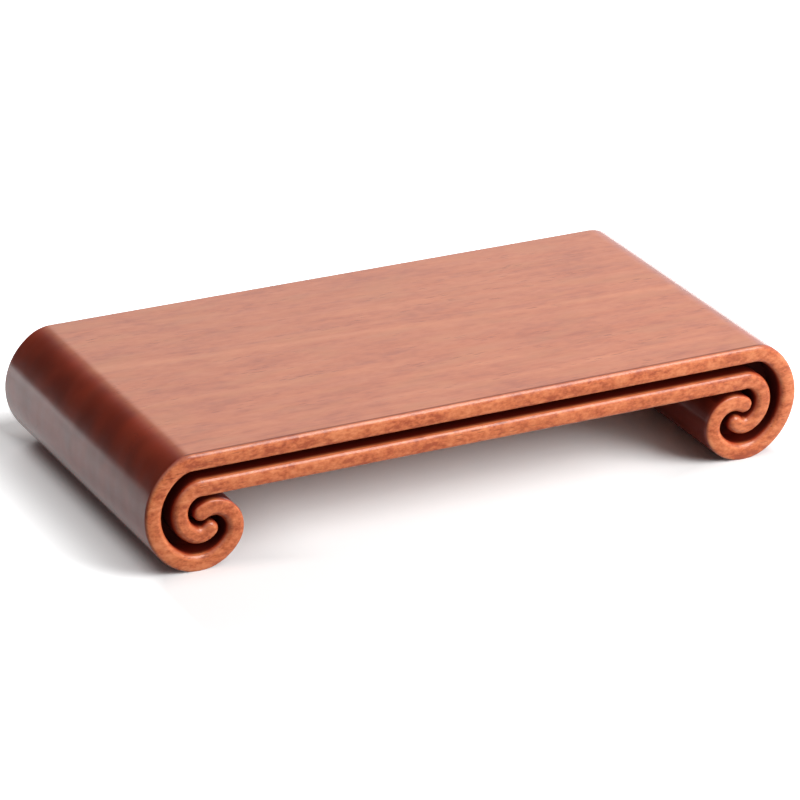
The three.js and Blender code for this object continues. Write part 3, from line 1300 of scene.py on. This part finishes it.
@dataclass
class Studio:
    """The camera, the pale floor and the soft light.

    A pair of numbers says where something starts, and where it is complete: on the floor in metres,
    and in the surround as a part of a direction of length 1.
    """

    azimuth: float = 0.4861039
    elevation: float = 0.4208379
    roll: float = 0.0237480
    distance: float = 1.8067259
    side_offset: float = -0.000379534
    rise_offset: float = 0.001282220
    aim_height: float = 0.020
    focal_share: float = 4293.88157 / 800
    sensor: float = 36.0
    ambient: float = 0.13

    # The floor, and the stretch of it that is darker in gloss, along a slanting edge.
    floor_side: float = 12.0
    floor_shade: float = 0.84
    floor_bounce: float = 0.42
    flag_slant: float = 0.51
    flag_edge: tuple[float, float] = (-0.15, -0.28)
    flag_strength: float = 0.8

    # The light that spills in over the floor: at the foot of the rolls and on past the ends, before
    # and under the deck, behind the stand, and far off.
    side_spill: float = 0.3
    foot_edge: tuple[float, float] = (0.138, 0.150)
    side_edge: tuple[float, float] = (0.140, 0.192)
    front_spill: float = 0.24
    front_edge: tuple[float, float] = (0.065, 0.085)
    under_depth: tuple[float, float] = (0.0, 0.05)
    under_length: tuple[float, float] = (0.115, 0.065)
    behind_edge: tuple[float, float] = (0.075, 0.12)
    far_edge: tuple[float, float] = (0.14, 0.55)

    # The dark screen: how its edge is turned, two steps past the edge and their shares, where it
    # ends towards the front and above, and how dark it is.
    screen_turn: float = math.radians(21)
    screen_near: tuple[float, float] = (-0.02, -0.12)
    screen_near_share: float = 0.7
    screen_far: tuple[float, float] = (-0.1, -0.45)
    screen_far_share: float = 0.3
    screen_back: tuple[float, float] = (0.0, 0.3)
    screen_top: tuple[float, float] = (0.95, 0.75)
    screen_strength: float = 0.96

    lamps: tuple[SoftLamp, ...] = (
        SoftLamp("key_light", (0.41, -0.41, 0.81), 1.6, 0.9, 3.8),
        SoftLamp("front_light", (0.60, -0.64, 0.48), 1.8, 1.1, 10.5, in_gloss=False),
        SoftLamp("back_light", (0.15, 0.85, 0.50), 1.8, 1.2, 2.6, in_gloss=False),
    )

    def _camera(self) -> None:
        """Sets up the camera at the place that the stand is seen from."""
        ahead = Vector((math.sin(self.azimuth) * math.cos(self.elevation),
                        math.cos(self.azimuth) * math.cos(self.elevation), -math.sin(self.elevation)))
        right = ahead.cross(Vector((0, 0, 1))).normalized()
        above = right.cross(ahead)
        turned_right = math.cos(self.roll) * right + math.sin(self.roll) * above
        turned_above = math.cos(self.roll) * above - math.sin(self.roll) * right
        place = (Vector((0, 0, self.aim_height)) - ahead * self.distance
                 + turned_right * self.side_offset + turned_above * self.rise_offset)
        data = bpy.data.cameras.new("camera")
        data.sensor_width = self.sensor
        data.lens = self.focal_share * self.sensor
        camera = bpy.data.objects.new("camera", data)
        bpy.context.scene.collection.objects.link(camera)
        axes = Matrix((turned_right, turned_above, -ahead)).transposed().to_4x4()
        camera.matrix_world = Matrix.Translation(place) @ axes
        bpy.context.scene.camera = camera

    def _seen(self, sheet: NodeSheet) -> Signal:
        """1 for a ray that comes from the camera, or from a gloss or clear surface."""
        camera, gloss, clear = sheet.rays("Is Camera Ray", "Is Glossy Ray", "Is Transmission Ray")
        return camera.larger(gloss).larger(clear)

    def _spill(self, beside: Signal, x: Signal, y: Signal) -> Signal:
        """The light that spills in over the floor round the stand and softens its shadow.

        Args:
            beside: the light at the foot of the rolls.
            x: how far a point of the floor is from the middle, along the stand.
            y: the place of the point across the stand.

        Returns:
            The light's strength.
        """
        side = beside + x.step(*self.side_edge) * (1.0 - self.side_spill)
        under = y.size().step(*self.under_depth) * x.step(*self.under_length)
        front = under.larger(y.size().step(*self.front_edge)) * self.front_spill
        return side.larger(front).larger(y.step(*self.behind_edge))

    def _floor(self) -> None:
        """Lays the pale floor, which keeps the stand's shadow and is clear when seen from below."""
        floor = Bench.panel("floor", (self.floor_side, self.floor_side), (0.0, 0.0, 0.0))
        made = bpy.data.materials.new("floor_paper")
        made.use_nodes = True
        sheet = NodeSheet(made.node_tree)
        seen = self._seen(sheet)
        place = sheet.place()
        x, y, _ = sheet.parts(place)
        away = sheet.add("ShaderNodeVectorMath", {"operation": "LENGTH"}, {0: place}, "Value")
        camera, gloss = sheet.rays("Is Camera Ray", "Is Glossy Ray")
        flagged = (x + y * self.flag_slant).step(*self.flag_edge) * gloss * self.flag_strength
        shade = sheet.mix(seen, (self.floor_bounce,) * 3, (self.floor_shade,) * 3)
        paper = sheet.add("ShaderNodeBsdfDiffuse", {}, {"Color": sheet.mix(flagged, shade, BLACK)})
        beside = x.size().step(*self.foot_edge) * self.side_spill
        far = seen * beside.larger(away.step(*self.far_edge))
        light = (camera * self._spill(beside, x.size(), y)).larger(far) * (1.0 - flagged)
        glow = sheet.add("ShaderNodeEmission", {}, {"Color": sheet.mix(light, BLACK, WHITE)})
        both = sheet.add("ShaderNodeAddShader", {}, {0: paper, 1: glow})
        below = sheet.add("ShaderNodeNewGeometry", {}, {}, "Backfacing")
        clear = sheet.add("ShaderNodeBsdfTransparent", {}, {})
        layer = sheet.add("ShaderNodeMixShader", {}, {0: below, 1: both, 2: clear})
        sheet.add("ShaderNodeOutputMaterial", {}, {"Surface": layer})
        floor.data.materials.append(made)

    def _surround(self) -> None:
        """Paints the studio white, with a dark screen at the back on the left that shows in gloss."""
        world = bpy.data.worlds.new("studio")
        bpy.context.scene.world = world
        world.use_nodes = True
        sheet = NodeSheet(world.node_tree)
        way = sheet.add("ShaderNodeTexCoord", {}, {}, "Generated")
        x, y, z = sheet.parts(way)
        past_edge = x * math.cos(self.screen_turn) - y * math.sin(self.screen_turn)
        depth = (past_edge.step(*self.screen_near) * self.screen_near_share
                 + past_edge.step(*self.screen_far) * self.screen_far_share)
        screen = depth * y.step(*self.screen_back) * z.step(*self.screen_top)
        gloss = sheet.rays("Is Glossy Ray")[0]
        bright = 1.0 - screen * gloss * self.screen_strength
        seen = self._seen(sheet)
        strength = seen * bright + (1.0 - seen) * self.ambient
        light = sheet.add("ShaderNodeBackground", {}, {"Strength": strength})
        sheet.add("ShaderNodeOutputWorld", {}, {"Surface": light})

    def build(self) -> None:
        """Sets up the camera, the floor, the surround and the lamps."""
        self._camera()
        self._floor()
        self._surround()
        for lamp in self.lamps:
            lamp.build()
        bpy.context.scene.view_settings.view_transform = "Standard"


def main() -> None:
    """Models and dresses every piece, and sets up the studio."""
    logging.basicConfig(level=logging.INFO, format="%(message)s")
    form = StandForm()
    lacquered = Finish(LACQUERED.name, LACQUERED.material())
    bare, bamboo = BARE_IN_PAINTED_SHADE.material(), BAMBOO.material()
    Studio().build()
    pieces = [ScrollEnd(form, end, lacquered).build() for end in End]
    pieces += [DeckBoard(form, "upper_deck_board", form.upper_level, lacquered).build(),
               DeckBoard(form, "lower_deck_board", form.lower_level, lacquered).build()]
    # Painted shade for the grooves and under the deck, kept as an attribute on each piece.
    RecessShade(form).build(pieces)
    for piece in pieces + HiddenJoinery(bare, bamboo).build():
        log.info("%s: %d faces", piece.name, len(piece.data.polygons))


if __name__ == "__main__":
    main()
